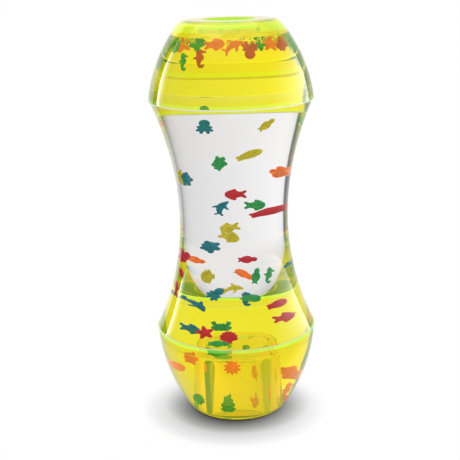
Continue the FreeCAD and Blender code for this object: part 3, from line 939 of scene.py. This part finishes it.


# lengths in metres; floor is what the floor throws back as light, and white and near are how bright it
# looks by itself, seen past the tube and through the tube, and the level for the well's mouth is painted
# shade under the tube
stage = {
    "size": 80.0,
    "floor": 0.95,
    "rough": 0.7,
    "seenPaint": 0.01,
    "white": 0.99,
    "shadeLean": (0.18, 0.5, 1.0),
    "shadeReaches": (0.013, 0.026, 0.055),
    "shadeSamples": 32,
    "shadeGain": 1.12,
    "shadePower": 1.42,
    "near": 0.95,
    "nearMiddle": (0.0, 0.09, 0.0),
    "nearby": (0.09, 0.17),
    # painted shade: the floor is darker in the well's mouth, under the tube
    "mouthShade": 0.42,
    "mouthMiddle": (0.0, 0.0, 0.0),
    "mouth": (0.0138, 0.0148),
}
# grow is where a panel is dark, where it is bright, and how steeply it changes
lamps = {
    "left": {"place": (-0.695, 0.19, 0.28), "size": (0.36, 0.8), "watts": 10.0, "grow": (1.0, 0.0, 4.0)},
    "right": {"place": (0.68, 0.04, 0.26), "size": (1.1, 0.7), "watts": 11.0, "grow": (0.0, 1.0, 1.2)},
    "above": {"place": (-0.05, 0.1, 0.9), "size": (0.9, 0.7), "watts": 2.0},
}
lampAim = (0.0, 0.0, 0.11)
lampFade = (1.0, 0.5)       # how high up a panel it is dark, and down from where it is full
# how bright the room is round the tube, by bearing from the backdrop in degrees, to the right
room = {
    "round": (
        (-180, 0.3), (-110, 0.32), (-84, 0.6), (-74, 0.25), (-66, 0.1), (-47, 0.06), (-43, 1.12),
        (-30, 1.12), (0, 0.95), (30, 0.84), (40, 0.82), (45, 0.62), (51, 0.5), (72, 0.5),
        (110, 0.32), (180, 0.3),
    ),
    "ceiling": 0.95,
    "ceilingFrom": (0.6, 0.85),
    "fill": 0.82,
}


def seenDirectly(tree):
    # 1 for what the camera sees, straight or by gloss or glass, and 0 for light that falls on things
    path = addNode(tree, "ShaderNodeLightPath")
    beforeAny = addNode(tree, "ShaderNodeMath", operation="LESS_THAN")
    beforeAny.inputs[1].default_value = 0.5     # the depth is 0 until light has met a dull surface
    tree.links.new(path.outputs["Diffuse Depth"], beforeAny.inputs[0])
    return beforeAny.outputs[0]


def chosen(tree, switch, off, on):
    # a number that is one value or the other; each may be a plain number or a socket
    pick = addNode(tree, "ShaderNodeMix", data_type="FLOAT")
    low, high = [socket for socket in pick.inputs if socket.type == "VALUE"][1:3]
    tree.links.new(switch, pick.inputs["Factor"])
    for socket, value in ((low, off), (high, on)):
        if isinstance(value, float):
            socket.default_value = value
        else:
            tree.links.new(value, socket)
    return [socket for socket in pick.outputs if socket.type == "VALUE"][0]


def roomLevel(tree, direction):
    # the white backdrop is behind the tube, and the room beside it and in front of it is dark
    unit = addNode(tree, "ShaderNodeVectorMath", operation="NORMALIZE")
    tree.links.new(direction, unit.inputs[0])
    split = addNode(tree, "ShaderNodeSeparateXYZ")
    tree.links.new(unit.outputs[0], split.inputs[0])
    bearing = addNode(tree, "ShaderNodeMath", operation="ARCTAN2")
    tree.links.new(split.outputs["X"], bearing.inputs[0])
    tree.links.new(split.outputs["Y"], bearing.inputs[1])
    # the ramp runs from 0 to 1 for bearings from half a turn left to half a turn right
    share = addNode(tree, "ShaderNodeMath", operation="MULTIPLY_ADD")
    share.inputs[1].default_value = 0.5 / math.pi
    share.inputs[2].default_value = 0.5
    tree.links.new(bearing.outputs[0], share.inputs[0])
    walls = addNode(tree, "ShaderNodeValToRGB")
    ramp = walls.color_ramp
    while len(ramp.elements) < len(room["round"]):
        ramp.elements.new(0.5)
    for stop, (angle, level) in zip(ramp.elements, room["round"]):
        stop.position = angle / 360 + 0.5
        stop.color = (level, level, level, 1.0)
    tree.links.new(share.outputs[0], walls.inputs["Fac"])
    up = addNode(tree, "ShaderNodeMapRange", interpolation_type="SMOOTHSTEP")
    up.inputs["From Min"].default_value, up.inputs["From Max"].default_value = room["ceilingFrom"]
    tree.links.new(split.outputs["Z"], up.inputs["Value"])
    return chosen(tree, up.outputs["Result"], walls.outputs["Color"], room["ceiling"])


def beyond(tree, place, middle, reach):
    # 0 nearer to the middle than the first reach, and 1 further out than the second
    away = addNode(tree, "ShaderNodeVectorMath", operation="DISTANCE")
    away.inputs[1].default_value = middle
    tree.links.new(place, away.inputs[0])
    out = addNode(tree, "ShaderNodeMapRange", interpolation_type="SMOOTHSTEP")
    out.inputs["From Min"].default_value, out.inputs["From Max"].default_value = reach
    tree.links.new(away.outputs["Value"], out.inputs["Value"])
    return out.outputs["Result"]


def makeFloor():
    mesh = bpy.data.meshes.new("floor")
    half = stage["size"] / 2
    corners = [(-half, -half, 0), (half, -half, 0), (half, half, 0), (-half, half, 0)]
    mesh.from_pydata(corners, [], [(0, 1, 2, 3)])
    floor = bpy.data.objects.new("floor", mesh)
    scene.collection.objects.link(floor)
    material, tree, shader = newMaterial("floorPaint")
    shader.inputs["Roughness"].default_value = stage["rough"]
    shader.inputs["Specular IOR Level"].default_value = 0.0
    direct = seenDirectly(tree)
    paint = chosen(tree, direct, stage["floor"], stage["seenPaint"])
    tree.links.new(paint, shader.inputs["Base Color"])
    # the soft shade round the foot, which leans to the front left
    lean = addNode(tree, "ShaderNodeCombineXYZ")
    for axis, value in zip("XYZ", stage["shadeLean"]):
        lean.inputs[axis].default_value = value
    shade = None
    for reach in stage["shadeReaches"]:
        nearby = addNode(tree, "ShaderNodeAmbientOcclusion", samples=stage["shadeSamples"])
        nearby.inputs["Distance"].default_value = reach
        tree.links.new(lean.outputs[0], nearby.inputs["Normal"])
        part = addNode(tree, "ShaderNodeMath", operation="MULTIPLY_ADD")
        part.inputs[1].default_value = stage["shadeGain"] / len(stage["shadeReaches"])
        part.inputs[2].default_value = 0.0
        tree.links.new(nearby.outputs["AO"], part.inputs[0])
        if shade:
            tree.links.new(shade.outputs[0], part.inputs[2])
        shade = part
    shade.use_clamp = True
    deeper = addNode(tree, "ShaderNodeMath", operation="POWER")
    deeper.inputs[1].default_value = stage["shadePower"]
    tree.links.new(shade.outputs[0], deeper.inputs[0])
    # seen through the tube, the floor has painted shade in the well's mouth, is white near the foot, and
    # as dark as the room further out
    place = addNode(tree, "ShaderNodeNewGeometry")
    mouth = beyond(tree, place.outputs["Position"], stage["mouthMiddle"], stage["mouth"])
    out = beyond(tree, place.outputs["Position"], stage["nearMiddle"], stage["nearby"])
    # the darker level in the well's mouth is painted shade under the tube
    near = chosen(tree, mouth, stage["mouthShade"], stage["near"])
    around = chosen(tree, out, near, roomLevel(tree, place.outputs["Position"]))
    path = addNode(tree, "ShaderNodeLightPath")
    seen = chosen(tree, path.outputs["Is Camera Ray"], around, stage["white"])
    shaded = addNode(tree, "ShaderNodeMath", operation="MULTIPLY")
    tree.links.new(seen, shaded.inputs[0])
    tree.links.new(deeper.outputs[0], shaded.inputs[1])
    shader.inputs["Emission Color"].default_value = (1.0, 1.0, 1.0, 1.0)
    tree.links.new(chosen(tree, direct, 0.0, shaded.outputs[0]), shader.inputs["Emission Strength"])
    mesh.materials.append(material)


def growAcross(data, dark, bright, power):
    # a panel that grows brighter from one side to the other and fades towards its top
    data.use_nodes = True
    tree = data.node_tree
    spot = addNode(tree, "ShaderNodeNewGeometry")
    split = addNode(tree, "ShaderNodeSeparateXYZ")
    tree.links.new(spot.outputs["Parametric"], split.inputs[0])
    across = addNode(tree, "ShaderNodeMapRange")
    across.inputs["From Min"].default_value = dark
    across.inputs["From Max"].default_value = bright
    tree.links.new(split.outputs["X"], across.inputs["Value"])
    steeper = addNode(tree, "ShaderNodeMath", operation="POWER")
    steeper.inputs[1].default_value = power
    tree.links.new(across.outputs["Result"], steeper.inputs[0])
    upward = addNode(tree, "ShaderNodeMapRange", interpolation_type="SMOOTHSTEP")
    upward.inputs["From Min"].default_value, upward.inputs["From Max"].default_value = lampFade
    tree.links.new(split.outputs["Y"], upward.inputs["Value"])
    both = addNode(tree, "ShaderNodeMath", operation="MULTIPLY")
    tree.links.new(steeper.outputs[0], both.inputs[0])
    tree.links.new(upward.outputs["Result"], both.inputs[1])
    tree.links.new(both.outputs[0], tree.nodes["Emission"].inputs["Strength"])


def makeLamps():
    for name, lamp in lamps.items():
        data = bpy.data.lights.new(name + "Lamp", "AREA")
        data.shape = "RECTANGLE"
        data.size, data.size_y = lamp["size"]
        data.energy = lamp["watts"]
        if "grow" in lamp:
            growAcross(data, *lamp["grow"])
        light = bpy.data.objects.new(name + "Lamp", data)
        light.location = lamp["place"]
        aim = Vector(lampAim) - light.location
        light.rotation_euler = aim.to_track_quat("-Z", "Y").to_euler()
        light.visible_transmission = False      # it shines on the tube and isn't seen through it
        scene.collection.objects.link(light)


def makeWorld():
    world = bpy.data.worlds.new("studio")
    world.use_nodes = True
    tree = world.node_tree
    background = tree.nodes["Background"]
    background.inputs["Color"].default_value = (1.0, 1.0, 1.0, 1.0)
    way = addNode(tree, "ShaderNodeTexCoord")
    path = addNode(tree, "ShaderNodeLightPath")
    around = roomLevel(tree, way.outputs["Generated"])
    seen = chosen(tree, path.outputs["Is Camera Ray"], around, 1.0)
    strength = chosen(tree, seenDirectly(tree), room["fill"], seen)
    tree.links.new(strength, background.inputs["Strength"])
    scene.world = world


makeFloor()
makeLamps()
makeWorld()
scene.view_settings.view_transform = "Standard"
scene.cycles.max_bounces = 32
scene.cycles.transmission_bounces = 32
scene.cycles.glossy_bounces = 8
scene.cycles.diffuse_bounces = 3
scene.cycles.transparent_max_bounces = 16
print("studio set")
